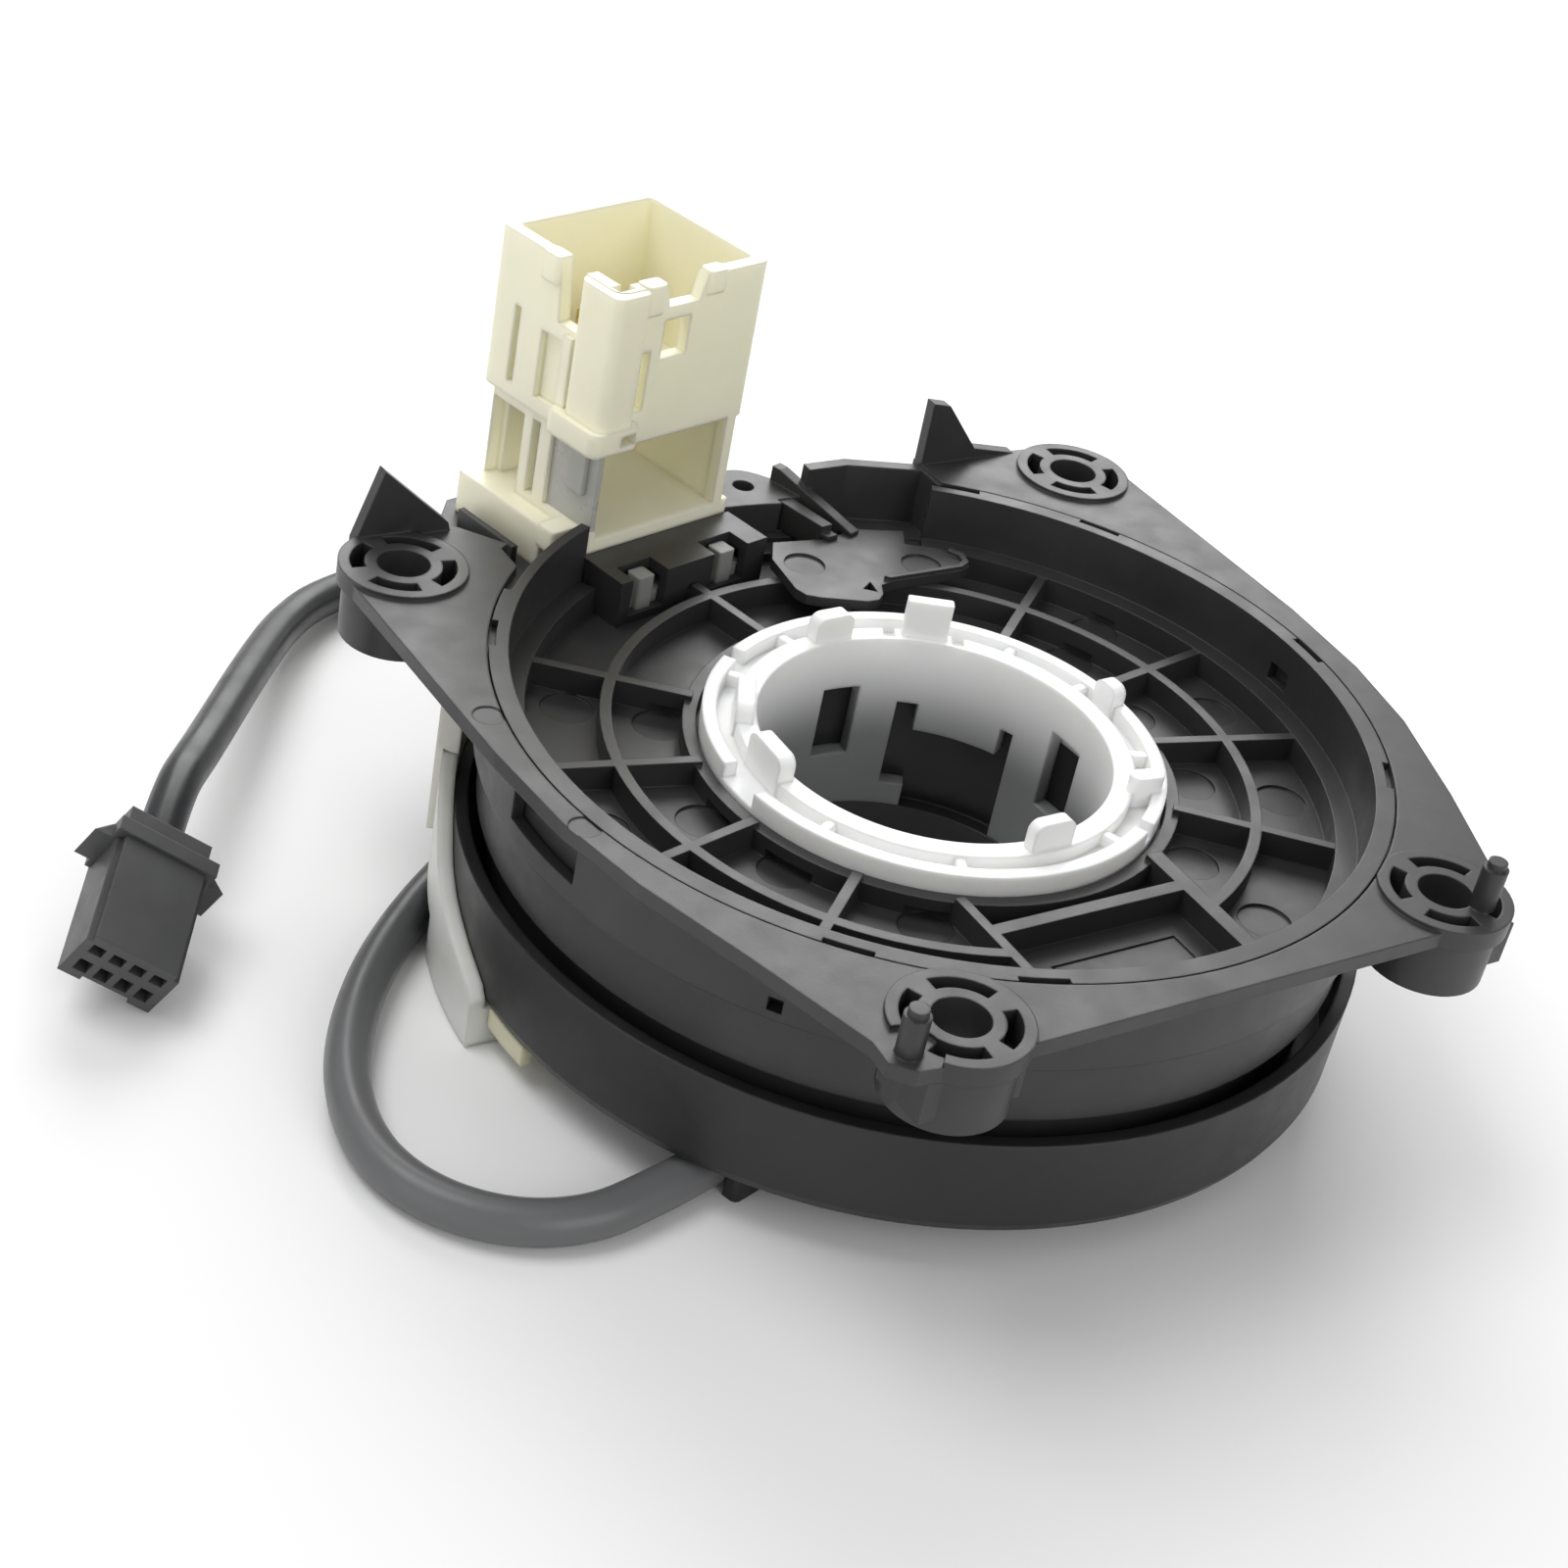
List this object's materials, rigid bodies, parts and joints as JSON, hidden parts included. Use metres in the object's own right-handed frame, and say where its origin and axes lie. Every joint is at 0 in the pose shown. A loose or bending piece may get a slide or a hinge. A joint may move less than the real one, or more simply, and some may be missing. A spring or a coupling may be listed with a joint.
{
  "type": "steering clock spring",
  "caption": "Steering clock spring: black flanged case with a ribbed back cover, white turning hub, cream connector tower and a lead that ends in a small plug.",
  "frame": {"origin": "on the steering axis, at the bottom edge of the hub's bore, in the plane that the part lies on", "axes": "+Z along the steering axis, to the side where the connector tower stands; +Y towards the two wide ears and the tower"},
  "size_m": [0.1447, 0.1475, 0.0658],
  "materials": {
    "case_black": "satin moulded",
    "cover_black": "satin moulded",
    "drum_black": "satin moulded",
    "carrier_grey": "moulded",
    "cream": "satin moulded",
    "divider": "slightly clear",
    "contact_brass": "bright",
    "ribbon_film": "thin film",
    "hub_white": "satin moulded",
    "milky": "milky, lets light through",
    "natural_white": "satin moulded",
    "yellowish": "satin moulded",
    "lead_jacket": "smooth sleeve",
    "plug_black": "satin moulded"
  },
  "bodies": {
    "case": {"stator_case": "case_black", "back_cover": "cover_black", "terminal_lid": "cover_black", "terminal_carrier": "carrier_grey", "connector_housing": "cream", "connector_divider": "divider", "connector_terminals": "contact_brass", "outer_ribbon_terminal": "carrier_grey", "flat_ribbon": "ribbon_film"},
    "rotor": {"rotor_sleeve": "hub_white", "rotor_drum": "drum_black", "side_shell": "milky", "side_block": "natural_white", "shell_insert": "yellowish", "shell_terminals": "contact_brass", "lead_clamp": "drum_black", "lead": "lead_jacket", "plug_body": "plug_black", "plug_rear_clip": "plug_black", "plug_contacts": "contact_brass", "inner_ribbon_terminal": "carrier_grey"}
  },
  "joints": [
    {"name": "rotor_turn", "type": "hinge", "parent": "case", "child": "rotor", "pos_m": [0, 0, 0], "axis": [0, 0, 1], "range_deg": [-900, 900], "deforming": ["flat_ribbon"]}
  ]
}
